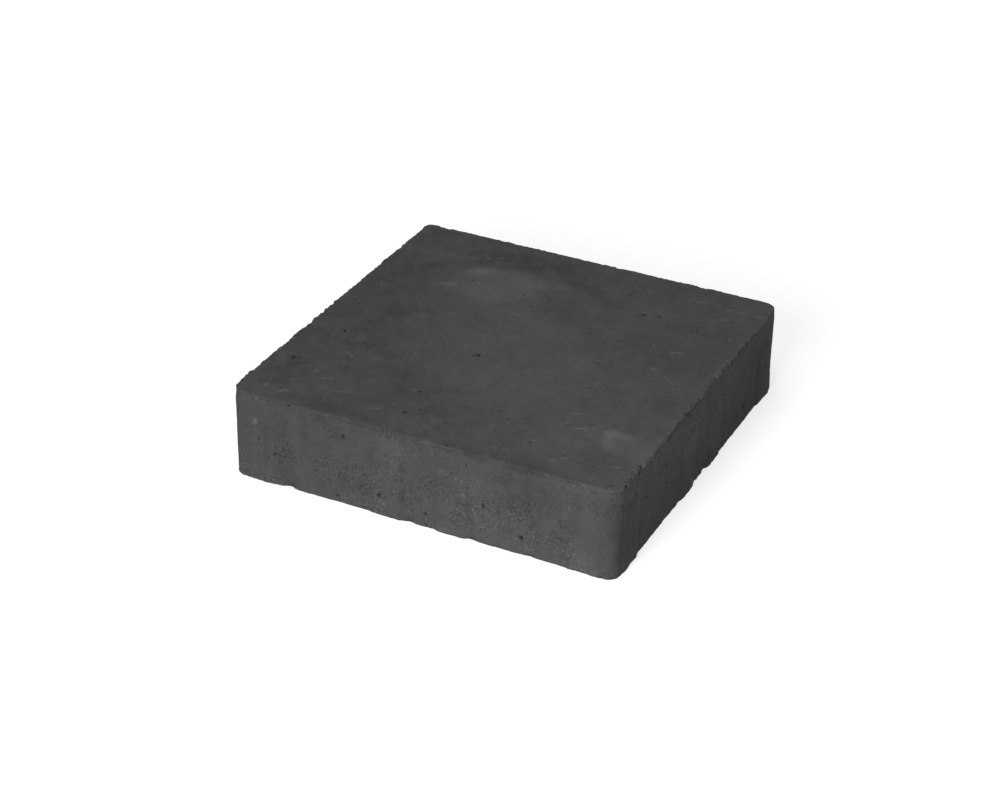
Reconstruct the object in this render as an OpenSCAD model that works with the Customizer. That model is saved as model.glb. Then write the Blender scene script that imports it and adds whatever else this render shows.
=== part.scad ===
// Concrete paving stone: one square block, pressed in one piece, with spacer nibs on its four sides.
// Millimetres, +Z up, origin at the centre of the bed face, sides square to X and Y.

/* [Block] */
// Laying grid along X, one stone and one joint
grid_length = 300; // [200:1:600]
// Laying grid along Y, one stone and one joint
grid_width = 300; // [200:1:600]
// Thickness from the bed face to the top face
thickness = 70; // [50:1:120]
// Radius of the four upright corners
corner_radius = 9; // [4:0.5:20]
// Rounding of the arris round the top face
top_arris = 1.5; // [0.5:0.1:3]
// Rounding of the arris round the bed face
bed_arris = 0.8; // [0.3:0.1:2]

/* [Spacer nibs] */
// Joint that the nibs of two neighbouring stones keep open
joint_width = 3; // [1:0.5:8]
// Width of a nib where it leaves the side
nib_width = 27; // [22:1:40]
// Run of each sloping flank of a nib
nib_flank = 3; // [0.5:0.5:10]
// Flat of the side between an upright corner and the nearest nib
nib_clear = 1; // [0:0.5:20]
// Depth of a nib's upper end below the top face
nib_drop = 18; // [5:1:40]
// Height over which the upper end of a nib runs out into the side
nib_runout = 6; // [1:0.5:15]

/* [Hidden] */
$fn = 96;

concrete_colour = [0.29, 0.29, 0.29];

// A joint is filled from both stones, so each nib stands out by half of it
nib_proud = joint_width / 2;
body_length = grid_length - joint_width;
body_width = grid_width - joint_width;

// Nibs stand as far from the middle of a side as from the ends of its grid,
// so they meet the nibs of the next row both in line and in half bond
nib_inset = nib_proud + corner_radius + nib_clear + nib_width / 2;
nib_top = thickness - nib_drop;

// Root of a nib inside the block, deeper than the bed arris
nib_root = corner_radius;

// What a rounding of the given radius takes off a corner at the origin, block towards -X and -Y
module arris_waste(radius) {
    difference() {
        translate([-radius, -radius]) square(2 * radius);
        translate([-radius, -radius]) circle(radius);
    }
}

// Upright section of the block across its sides, rounded at the top and bed arrises
module block_section(span) {
    difference() {
        translate([-span / 2, 0]) square([span, thickness]);
        for (flip = [0, 1]) mirror([flip, 0]) {
            translate([span / 2, thickness]) arris_waste(top_arris);
            translate([span / 2, 0]) mirror([0, 1]) arris_waste(bed_arris);
        }
    }
}

// Block section drawn along Y
module drawn_section(span, run) {
    rotate([90, 0, 0]) linear_extrude(height = run, center = true) block_section(span);
}

// Quarter of a turned post that rounds one upright corner
module corner_post() {
    rotate_extrude(angle = 90) intersection() {
        block_section(2 * corner_radius);
        square([corner_radius, thickness]);
    }
}

module block() {
    post_x = body_length / 2 - corner_radius;
    post_y = body_width / 2 - corner_radius;
    drawn_section(body_length, 2 * post_y);
    rotate(90) drawn_section(body_width, 2 * post_x);
    for (flip_x = [0, 1], flip_y = [0, 1])
        mirror([flip_x, 0, 0]) mirror([0, flip_y, 0]) translate([post_x, post_y, 0]) corner_post();
}

// One nib on a side that lies in the plane y = 0, proud towards -Y
module nib() {
    half_foot = nib_width / 2;
    half_tip = half_foot - nib_flank;
    intersection() {
        linear_extrude(height = nib_top) polygon([
            [-half_foot, nib_root], [-half_foot, 0], [-half_tip, -nib_proud],
            [half_tip, -nib_proud], [half_foot, 0], [half_foot, nib_root]
        ]);
        rotate([90, 0, 90]) linear_extrude(height = nib_width, center = true) polygon([
            [nib_root, 0], [-nib_proud, 0], [-nib_proud, nib_top - nib_runout], [0, nib_top], [nib_root, nib_top]
        ]);
    }
}

// The four nibs of one side: two near its ends and two beside its middle
module side_nibs(grid, face) {
    for (end = [-1, 1], place = [nib_inset, grid / 2 - nib_inset])
        translate([end * place, -face, 0]) nib();
}

module paving_stone() {
    color(concrete_colour) union() {
        block();
        for (turn = [0, 180]) {
            rotate(turn) side_nibs(grid_length, body_width / 2);
            rotate(turn + 90) side_nibs(grid_width, body_length / 2);
        }
    }
}

paving_stone();
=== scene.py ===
"""Pressed concrete paving stone: its worn block, its finish, and the plain studio that it is seen in.

Every length is named in millimetres and turned into metres where a mesh, a lamp or the camera takes it.
"""
import logging
import math
from dataclasses import dataclass
from enum import Enum
from typing import Any, Sequence, Union

import bpy
import numpy as np
from mathutils import Matrix, Vector
from mathutils.geometry import delaunay_2d_cdt


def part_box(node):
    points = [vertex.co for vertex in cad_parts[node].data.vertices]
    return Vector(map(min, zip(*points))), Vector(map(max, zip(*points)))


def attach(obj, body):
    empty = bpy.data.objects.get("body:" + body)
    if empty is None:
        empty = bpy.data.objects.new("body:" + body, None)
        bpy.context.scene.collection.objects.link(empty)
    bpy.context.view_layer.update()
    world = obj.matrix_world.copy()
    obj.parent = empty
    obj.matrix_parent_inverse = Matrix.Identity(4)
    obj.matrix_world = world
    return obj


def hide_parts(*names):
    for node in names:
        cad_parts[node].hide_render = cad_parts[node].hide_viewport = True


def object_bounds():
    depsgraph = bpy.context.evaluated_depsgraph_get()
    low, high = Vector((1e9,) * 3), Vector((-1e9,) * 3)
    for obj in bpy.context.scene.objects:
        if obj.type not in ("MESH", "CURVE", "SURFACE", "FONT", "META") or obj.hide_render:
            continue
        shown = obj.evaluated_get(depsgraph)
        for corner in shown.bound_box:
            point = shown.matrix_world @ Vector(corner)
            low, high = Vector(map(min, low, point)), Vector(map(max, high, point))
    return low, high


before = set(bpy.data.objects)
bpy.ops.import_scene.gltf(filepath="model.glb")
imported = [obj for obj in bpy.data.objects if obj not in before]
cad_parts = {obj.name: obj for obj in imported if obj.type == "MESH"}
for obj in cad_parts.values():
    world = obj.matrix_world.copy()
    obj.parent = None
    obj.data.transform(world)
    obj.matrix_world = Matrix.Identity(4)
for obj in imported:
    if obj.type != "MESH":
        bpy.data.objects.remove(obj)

CAD_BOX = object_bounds()
STONE_PIECE = "pressed_block"
STONE_NODE = "paving_stone"
STONE_BODY = "root"
MM = 0.001
PER_METRE = 1000.0

log = logging.getLogger("paving_stone")

Value = Union["Wire", int, float]
Triple = tuple[float, float, float]
Rows = Sequence[Sequence[float]]

# Stretch along X, Y and Z of noise whose lumps are round
EVEN: Triple = (1.0, 1.0, 1.0)
# Step along X, Y and Z from one seed's part of the noise field to the next
SEED_STEP: Triple = (7.31, 3.17, 5.83)
# Degrees about Z along which the marks and the pores of the top face are drawn out
DRAW_ANGLE = 26.0
# Triangles inside the edge only, and how near two points may lie before they count as one
FILL_INSIDE = 1
FILL_TOLERANCE = 1e-7

# Named inputs of the relief: depths and radii in millimetres, and pores per square metre
RELIEF_SIZES: dict[str, float] = {
    "Grain Depth": 0.28,
    "Wave Depth": 0.25,
    "Draw Depth": 0.1,
    "Arris Wear": 0.4,
    "Arris Crumble": 2.6,
    "Arris Sway": 1.0,
    "Arris Lip": 0.2,
    "Bed Burr": 1.0,
    "Side Pores": 1500.0,
    "Arris Pores": 9000.0,
    "Least Pore": 0.6,
    "Largest Pore": 1.8,
}


def linked(name: str, data: bpy.types.ID) -> bpy.types.Object:
    """Make an object and put it in the scene.

    Args:
        name: Its name.
        data: Its mesh, camera or lamp.
    Returns:
        The object.
    """
    thing = bpy.data.objects.new(name, data)
    bpy.context.scene.collection.objects.link(thing)
    return thing


@dataclass(frozen=True)
class Cloud:
    """A layer of noise about zero, by the size of its lumps in millimetres.

    The seed moves it to another part of the noise field. Detail is how many finer octaves it has, rough is
    how strong they are, and stretch draws its lumps out along X, Y and Z.
    """

    size: float
    seed: int
    detail: float = 2.0
    rough: float = 0.5
    stretch: Triple = EVEN
    strength: float = 1.0


@dataclass(frozen=True)
class Slope:
    """A smooth slope from start to end while a value goes from low to high."""

    low: float
    high: float
    start: float = 0.0
    end: float = 1.0


@dataclass(frozen=True)
class Patches:
    """Patches that a slope cuts out of a layer of noise."""

    cloud: Cloud
    slope: Slope


class Wire:
    """A value on a socket of a node tree; arithmetic on it adds Math nodes to that tree."""

    def __init__(self, graph: "Graph", socket: bpy.types.NodeSocket) -> None:
        """Hold the socket and the graph that it belongs to."""
        self.graph = graph
        self.socket = socket

    def __add__(self, other: Value) -> "Wire":
        """Sum of two values."""
        return self.graph.math("ADD", self, other)

    def __sub__(self, other: Value) -> "Wire":
        """Difference of two values."""
        return self.graph.math("SUBTRACT", self, other)

    def __rsub__(self, other: Value) -> "Wire":
        """A plain number less this value."""
        return self.graph.math("SUBTRACT", other, self)

    def __mul__(self, other: Value) -> "Wire":
        """Product of two values."""
        return self.graph.math("MULTIPLY", self, other)

    __radd__ = __add__
    __rmul__ = __mul__

    def size(self) -> "Wire":
        """The value without its sign."""
        return self.graph.math("ABSOLUTE", self)

    def at_least(self, other: Value) -> "Wire":
        """The larger of two values."""
        return self.graph.math("MAXIMUM", self, other)

    def at_most(self, other: Value) -> "Wire":
        """The smaller of two values."""
        return self.graph.math("MINIMUM", self, other)


class Graph:
    """A node tree under construction, for geometry or for a shader."""

    def __init__(self, tree: bpy.types.NodeTree) -> None:
        """Start on an empty tree."""
        self.tree = tree
        self.tree.nodes.clear()

    def add(self, kind: str, inputs: dict[str, Any] | None = None, **settings: Any) -> bpy.types.Node:
        """Add a node.

        Args:
            kind: Blender's name of the node type.
            inputs: Socket name to a Wire, a list of Wires for a socket that takes several, or a plain value.
            **settings: Properties of the node, set before its sockets are looked up.
        Returns:
            The new node.
        """
        node = self.tree.nodes.new(kind)
        for name, value in settings.items():
            setattr(node, name, value)
        for name, value in (inputs or {}).items():
            socket = next(s for s in node.inputs if s.name == name and s.enabled)
            for part in value if isinstance(value, list) else [value]:
                self.plug(socket, part)
        return node

    def plug(self, socket: bpy.types.NodeSocket, value: Any) -> None:
        """Link a Wire to a socket, or set the socket to a plain value.

        Args:
            socket: The socket, an input.
            value: The Wire or the value.
        """
        if isinstance(value, Wire):
            self.tree.links.new(value.socket, socket)
        else:
            socket.default_value = value

    def out(self, node: bpy.types.Node, name: str | None = None) -> Wire:
        """The Wire from a node's output of that name, or from its first output in use."""
        return Wire(self, next(s for s in node.outputs if s.enabled and name in (None, s.name)))

    def operate(self, kind: str, operation: str, values: Sequence[Any]) -> Wire:
        """Add a node that works on values in the order of its sockets.

        Args:
            kind: Blender's name of the node type.
            operation: What the node does.
            values: Wires or plain values.
        Returns:
            Its result.
        """
        node = self.add(kind, operation=operation)
        for socket, value in zip(node.inputs, values):
            self.plug(socket, value)
        return self.out(node)

    def math(self, operation: str, *values: Value) -> Wire:
        """The result of a Math node on one or two values."""
        return self.operate("ShaderNodeMath", operation, values)

    def vector(self, operation: str, *values: "Wire | Sequence[float]") -> Wire:
        """The result of a Vector Math node on one or two vectors."""
        return self.operate("ShaderNodeVectorMath", operation, values)

    def scaled(self, vector: Wire, factor: Value) -> Wire:
        """A vector times a factor."""
        inputs = {"Vector": vector, "Scale": factor}
        return self.out(self.add("ShaderNodeVectorMath", inputs, operation="SCALE"))

    def length(self, vector: Wire) -> Wire:
        """The length of a vector."""
        return self.out(self.add("ShaderNodeVectorMath", {"Vector": vector}, operation="LENGTH"), "Value")

    def split(self, vector: Wire) -> list[Wire]:
        """The three components of a vector."""
        node = self.add("ShaderNodeSeparateXYZ", {"Vector": vector})
        return [self.out(node, axis) for axis in "XYZ"]

    def turned(self, vector: Wire, angle: float) -> Wire:
        """A vector seen from axes that are turned about Z by an angle in degrees."""
        inputs = {"Vector": vector, "Angle": -math.radians(angle)}
        return self.out(self.add("ShaderNodeVectorRotate", inputs, rotation_type="Z_AXIS"))

    def ramp(self, value: Wire, low: Value, high: Value, start: Value = 0.0, end: Value = 1.0) -> Wire:
        """A smooth step from start to end while the value goes from low to high."""
        inputs = {"Value": value, "From Min": low, "From Max": high, "To Min": start, "To Max": end}
        return self.out(self.add("ShaderNodeMapRange", inputs, interpolation_type="SMOOTHSTEP"))

    def sloped(self, value: Wire, slope: Slope) -> Wire:
        """The level of a slope at a value."""
        return self.ramp(value, slope.low, slope.high, slope.start, slope.end)


class SurfaceGraph(Graph):
    """A tree that works on the stone's surface: on a point's place and on what the mesh holds there."""

    def __init__(self, tree: bpy.types.NodeTree, source: str, output: str) -> None:
        """Read the place in millimetres, and how far the point is from the arrises.

        Args:
            tree: The tree to build in.
            source: Blender's name of the node that gives the place in metres.
            output: The output of that node.
        """
        super().__init__(tree)
        self.place = self.scaled(self.out(self.add(source), output), PER_METRE)
        self.x, self.y, self.height = self.split(self.place)
        self.side = self.read("side")
        self.top_gap = self.read("top_gap")
        self.bed_gap = self.read("bed_gap")

    def read(self, name: str) -> Wire:
        """A number that the mesh holds for each of its points."""
        raise NotImplementedError

    def away(self, spot: Triple) -> Wire:
        """The way from a spot in millimetres to the point's place."""
        return self.vector("SUBTRACT", self.place, spot)

    def noise(self, cloud: Cloud, place: Wire | None = None) -> Wire:
        """Cloudy noise about zero, mostly within its strength either way.

        Args:
            cloud: The layer of noise.
            place: The place in millimetres, if it isn't the point's own.
        Returns:
            The noise.
        """
        scale = tuple(1.0 / (cloud.size * share) for share in cloud.stretch)
        step = tuple(part * cloud.seed for part in SEED_STEP)
        spot = self.vector("ADD", self.vector("MULTIPLY", place or self.place, scale), step)
        inputs = {"Vector": spot, "Scale": 1.0, "Detail": cloud.detail, "Roughness": cloud.rough}
        return (self.out(self.add("ShaderNodeTexNoise", inputs)) - 0.5) * 2.0 * cloud.strength

    def patches(self, cut: Patches, place: Wire | None = None) -> Wire:
        """Patches at a place in millimetres, or at the point's own."""
        return self.sloped(self.noise(cut.cloud, place), cut.slope)


class BlockGraph(SurfaceGraph):
    """The geometry tree that presses, pits and wears the block, with the block as it is so far."""

    def __init__(self, seed: int) -> None:
        """Make the tree with its named inputs.

        Args:
            seed: Seed of the scattered pores.
        """
        tree = bpy.data.node_groups.new("pressed_relief", "GeometryNodeTree")
        tree.is_modifier = True
        super().__init__(tree, "GeometryNodeInputPosition", "Position")
        sockets = tree.interface
        sockets.new_socket("Geometry", in_out="INPUT", socket_type="NodeSocketGeometry")
        for name, value in {**RELIEF_SIZES, "Pore Seed": seed}.items():
            kind = "NodeSocketInt" if isinstance(value, int) else "NodeSocketFloat"
            sockets.new_socket(name, in_out="INPUT", socket_type=kind).default_value = value
        sockets.new_socket("Geometry", in_out="OUTPUT", socket_type="NodeSocketGeometry")
        self.given = self.add("NodeGroupInput")
        self.block = self.setting("Geometry")
        self.outward = self.read("outward", "FLOAT_VECTOR")
        self.along = self.read("along")

    def setting(self, name: str) -> Wire:
        """One of the tree's named inputs."""
        return self.out(self.given, name)

    def read(self, name: str, kind: str = "FLOAT") -> Wire:
        """A value that the block's mesh holds for each of its points."""
        node = self.add("GeometryNodeInputNamedAttribute", {"Name": name}, data_type=kind)
        return self.out(node, "Attribute")

    def send(self, kind: str, inputs: dict[str, Any] | None = None, **settings: Any) -> None:
        """Send the block through a node."""
        self.block = self.out(self.add(kind, {"Geometry": self.block, **(inputs or {})}, **settings))

    def store(self, name: str, value: Wire) -> None:
        """Store a number for each of the block's points."""
        inputs = {"Name": name, "Value": value}
        self.send("GeometryNodeStoreNamedAttribute", inputs, data_type="FLOAT", domain="POINT")

    def move(self, way: Wire, distance: Wire) -> None:
        """Move the block's points along a direction by a distance in millimetres."""
        self.send("GeometryNodeSetPosition", {"Offset": self.scaled(way, distance * MM)})

    def keep_inside(self, low: Triple, high: Triple) -> None:
        """Hold the block's points inside a box.

        Args:
            low: Its lowest corner, in metres.
            high: Its highest corner.
        """
        position = self.out(self.add("GeometryNodeInputPosition"))
        held = self.vector("MAXIMUM", self.vector("MINIMUM", position, high), low)
        self.send("GeometryNodeSetPosition", {"Position": held})

    def finish(self, material: bpy.types.Material) -> None:
        """Drop what only the relief reads, shade the block smooth, give it its finish and end the tree.

        Args:
            material: The finish of the stone.
        """
        for name in ("outward", "along", "dig", "push"):
            self.send("GeometryNodeRemoveAttribute", {"Name": name})
        self.send("GeometryNodeSetShadeSmooth", {"Shade Smooth": True})
        self.send("GeometryNodeRealizeInstances")
        self.send("GeometryNodeSetMaterial", {"Material": material})
        self.add("NodeGroupOutput", {"Geometry": self.block})


class FinishGraph(SurfaceGraph):
    """The shader tree of the stone's finish."""

    def __init__(self, tree: bpy.types.NodeTree) -> None:
        """Read the stone's surface, also along the way that its marks are drawn out."""
        super().__init__(tree, "ShaderNodeTexCoord", "Object")
        self.drawn = self.turned(self.place, DRAW_ANGLE)

    def read(self, name: str) -> Wire:
        """A number that the stone's mesh holds for each of its points."""
        return self.out(self.add("ShaderNodeAttribute", attribute_name=name), "Fac")


class Side(Enum):
    """The four upright sides, by the way that they face."""

    FRONT = (0.0, -1.0)
    RIGHT = (1.0, 0.0)
    BACK = (0.0, 1.0)
    LEFT = (-1.0, 0.0)

    def spot(self, along: float, height: float, reach: float) -> Triple:
        """The point at a place along the side and a height, on a side that far from the stone's middle."""
        x, y = self.value
        return (x * reach + abs(y) * along, y * reach + abs(x) * along, height)

    def extent(self, along: float, depth: float, rise: float) -> Triple:
        """Lengths along the side, into it and upwards, as lengths along X, Y and Z."""
        x, y = (abs(part) for part in self.value)
        return (x * depth + y * along, y * depth + x * along, rise)


@dataclass(frozen=True)
class Scar:
    """A chip that is dug into the block or, where its depth is negative, a lump left standing on it."""

    place: Triple
    radius: float
    depth: float
    # How much the finish darkens the chip's colour: painted shade in its hollow
    shade: float = 0.5
    edge: Cloud = Cloud(3.0, 9)
    edge_share: float = 0.3

    def bite(self, graph: BlockGraph) -> Wire:
        """How far inside the scar a point is, from 0 at its ragged edge to 1 in its middle."""
        ragged = graph.noise(self.edge) * self.radius * self.edge_share
        return graph.ramp(graph.length(graph.away(self.place)) + ragged, 0.0, self.radius, 1.0, 0.0)


@dataclass(frozen=True)
class Pore:
    """An air hole left in the face by the press."""

    place: Triple
    radius: float


@dataclass(frozen=True)
class PoreRing:
    """A ring of mesh points round a pore of the top face, in shares of the pore's radius."""

    radius: float
    count: int
    depth: float
    # How far inside the pore the ring lies, which the finish darkens as painted shade
    hollow: float


@dataclass(frozen=True)
class Ring:
    """One ring round the block, by how far it lies inside the outline and how high."""

    inset: float
    height: float
    top_gap: float
    bed_gap: float
    side: float


@dataclass(frozen=True)
class SpacerNibs:
    """The nibs that keep the joint open: two by the ends and two by the middle of each side."""

    proud: float = 1.25
    foot: float = 27.0
    flank: float = 3.4
    top: float = 52.0
    runout: float = 7.0
    inset: float = 25.0
    edge: Cloud = Cloud(9.0, 3, strength=1.5)
    flank_edge_share: float = 0.5
    worn: Patches = Patches(Cloud(20.0, 5), Slope(-0.6, 0.2, 0.55, 1.0))

    def press(self, graph: BlockGraph, half_grid: float) -> None:
        """Press the nibs out of the sides.

        Args:
            graph: The tree to build in.
            half_grid: Half of the laying grid.
        """
        ragged = graph.noise(self.edge)
        rise = graph.ramp(self.top - graph.height + ragged, 0.0, self.runout)
        form: Value = 0.0
        for middle in (self.inset, half_grid - self.inset):
            inside = self.foot / 2 - (graph.along - middle).size() + ragged * self.flank_edge_share
            form = graph.ramp(inside, 0.0, self.flank) + form
        graph.store("nib", form * rise * graph.patches(self.worn) * graph.side)
        graph.move(graph.outward, graph.read("nib") * self.proud)


@dataclass(frozen=True)
class FaceGrain:
    """What the press leaves in the faces: an open grain, upright draw lines and long waves."""

    grain: Cloud = Cloud(2.6, 1, rough=0.6)
    closed_by_top: Slope = Slope(46.0, 60.0, 1.0, 0.3)
    lines: Cloud = Cloud(5.0, 4, stretch=(1.0, 1.0, 14.0))
    waves: Cloud = Cloud(36.0, 2, 1.0)
    flat_share: float = 0.5

    def lift(self, graph: BlockGraph) -> Wire:
        """How far the grain stands out of the smooth block.

        Args:
            graph: The tree to build in.
        Returns:
            The height in millimetres.
        """
        open_share = graph.sloped(graph.height, self.closed_by_top)
        grain = graph.noise(self.grain) * graph.setting("Grain Depth") * open_share
        lines = graph.noise(self.lines) * graph.setting("Draw Depth")
        waves = graph.noise(self.waves) * graph.setting("Wave Depth")
        wave_share = graph.side * (1.0 - self.flat_share) + self.flat_share
        return (grain + lines) * graph.side + waves * wave_share


@dataclass(frozen=True)
class ArrisWear:
    """Worn arrises: chips, slumps, crumbs and slow sways round the top face, and a burr round the bed."""

    by_top: Slope = Slope(0.3, 4.0, 1.0, 0.0)
    by_bed: Slope = Slope(0.3, 5.0, 1.0, 0.0)
    chips: Patches = Patches(Cloud(5.0, 7, rough=0.6), Slope(0.1, 0.4))
    chip_depth: float = 0.6
    chip_setback: float = 0.5
    # Share of painted shade that the finish puts into the chips
    chip_shade: float = 0.3
    slumps: Patches = Patches(Cloud(16.0, 12, 1.0), Slope(-0.2, 0.6))
    slump_depth: float = 0.5
    crumbs: Cloud = Cloud(4.0, 6, rough=0.6)
    sway: Cloud = Cloud(17.0, 42, 1.0)
    more_sway_right: Slope = Slope(0.3, 0.9, 1.0, 2.2)
    burr: Cloud = Cloud(9.0, 8, 3.0, 0.65)
    clean_front: Slope = Slope(-0.9, -0.3, 0.35, 1.0)
    clean_corners: Slope = Slope(134.0, 148.0, 1.0, 0.4)
    stretches: Patches = Patches(Cloud(24.0, 41, 1.0), Slope(-0.3, 0.2, 0.25, 1.0))

    def raggedness(self, graph: BlockGraph) -> Wire:
        """How ragged the top arris is: in stretches, and less at the corners and along the cleaner front.

        Args:
            graph: The tree to build in.
        Returns:
            The share, up to 1.
        """
        facing = graph.split(graph.outward)[1]
        by_corner = graph.sloped(graph.along, self.clean_corners)
        return graph.sloped(facing, self.clean_front) * by_corner * graph.patches(self.stretches)

    def wear(self, graph: BlockGraph, lift: Wire) -> None:
        """Wear the arrises and move the block's points to their last places.

        Args:
            graph: The tree to build in.
            lift: How far the grain of the faces stands out.
        """
        by_top = graph.sloped(graph.top_gap, self.by_top)
        chip = graph.patches(self.chips)
        slump = graph.patches(self.slumps)
        ragged = self.raggedness(graph)
        depth = graph.setting("Arris Wear")
        worn = (chip * self.chip_depth + slump * self.slump_depth) * depth * by_top
        crumble = graph.noise(self.crumbs) * graph.setting("Arris Crumble") * ragged
        sway = graph.noise(self.sway) * graph.setting("Arris Sway") + graph.setting("Arris Lip")
        sway = sway * graph.sloped(graph.split(graph.outward)[0], self.more_sway_right)
        burr = graph.noise(self.burr) * graph.setting("Bed Burr") * graph.sloped(graph.bed_gap, self.by_bed)
        push = (crumble + sway - chip * depth * self.chip_setback) * by_top + burr
        # Painted shade: the finish darkens the chips along the ragged arris by this hollow share
        hollow = graph.read("hollow").at_least(chip * by_top * ragged * self.chip_shade)
        graph.store("dig", graph.read("dig") + worn - lift)
        graph.store("push", push)
        graph.store("hollow", hollow)
        inward = graph.scaled(graph.out(graph.add("GeometryNodeInputNormal")), -1.0)
        graph.move(inward, graph.read("dig"))
        graph.move(graph.outward, graph.read("push"))


@dataclass(frozen=True)
class SidePores:
    """The air holes of the sides: most of them low down, some along the arris, and those listed one by one.
    """

    placed: tuple[Pore, ...]
    low_down: Slope = Slope(8.0, 56.0, 1.0, 0.2)
    few_on_right: Slope = Slope(144.0, 147.0, 1.0, 0.2)
    by_top: Slope = Slope(1.2, 2.2, 1.0, 0.0)
    mostly_small: float = 2.0
    edge: Cloud = Cloud(1.6, 10)
    edge_share: float = 0.35
    floor_share: float = 0.35
    depth_share: float = 0.8

    def scatter(self, graph: BlockGraph, raggedness: Wire) -> Wire:
        """Scatter the pores and add the listed ones.

        Args:
            graph: The tree to build in.
            raggedness: How ragged the top arris is.
        Returns:
            The pores as points with their radius.
        """
        low = graph.sloped(graph.height, self.low_down) * graph.sloped(graph.x, self.few_on_right)
        density = graph.side * low * graph.setting("Side Pores")
        by_top = graph.sloped(graph.top_gap, self.by_top)
        density = density + by_top * raggedness * graph.setting("Arris Pores")
        scattered = graph.out(graph.add("GeometryNodeDistributePointsOnFaces", {
            "Mesh": graph.block, "Density": density, "Seed": graph.setting("Pore Seed"),
        }, distribute_method="RANDOM"), "Points")
        chance = graph.out(graph.add("FunctionNodeRandomValue", {"Min": 0.0, "Max": 1.0}, data_type="FLOAT"))
        small, large = graph.setting("Least Pore"), graph.setting("Largest Pore")
        radius = small + (large - small) * graph.math("POWER", chance, self.mostly_small)
        sized = graph.add("GeometryNodeSetPointRadius", {"Points": scattered, "Radius": radius})
        points = [graph.out(sized)]
        for pore in self.placed:
            spot = tuple(part * MM for part in pore.place)
            one = graph.add("GeometryNodePoints", {"Count": 1, "Position": spot, "Radius": pore.radius})
            points.append(graph.out(one))
        return graph.out(graph.add("GeometryNodeJoinGeometry", {"Geometry": points}))

    def craters(self, graph: BlockGraph, pores: Wire) -> tuple[Wire, Wire]:
        """Depth of the nearest pore at a point.

        Args:
            graph: The tree to build in.
            pores: The pores as points.
        Returns:
            The depth in millimetres, and how far the point is inside the pore from 0 to 1.
        """
        nearest = graph.out(graph.add("GeometryNodeSampleNearest", {"Geometry": pores}, domain="POINT"))
        sources = {"GeometryNodeInputPosition": "FLOAT_VECTOR", "GeometryNodeInputRadius": "FLOAT"}
        sampled = []
        for source, kind in sources.items():
            inputs = {"Geometry": pores, "Value": graph.out(graph.add(source)), "Index": nearest}
            node = graph.add("GeometryNodeSampleIndex", inputs, data_type=kind, domain="POINT")
            sampled.append(graph.out(node))
        centre, radius = sampled
        gap = graph.length(graph.vector("SUBTRACT", graph.place, graph.scaled(centre, PER_METRE)))
        ragged = graph.noise(self.edge) * radius * self.edge_share
        inside = graph.ramp(gap + ragged, radius * self.floor_share, radius, 1.0, 0.0)
        return inside * radius * self.depth_share, inside


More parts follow.
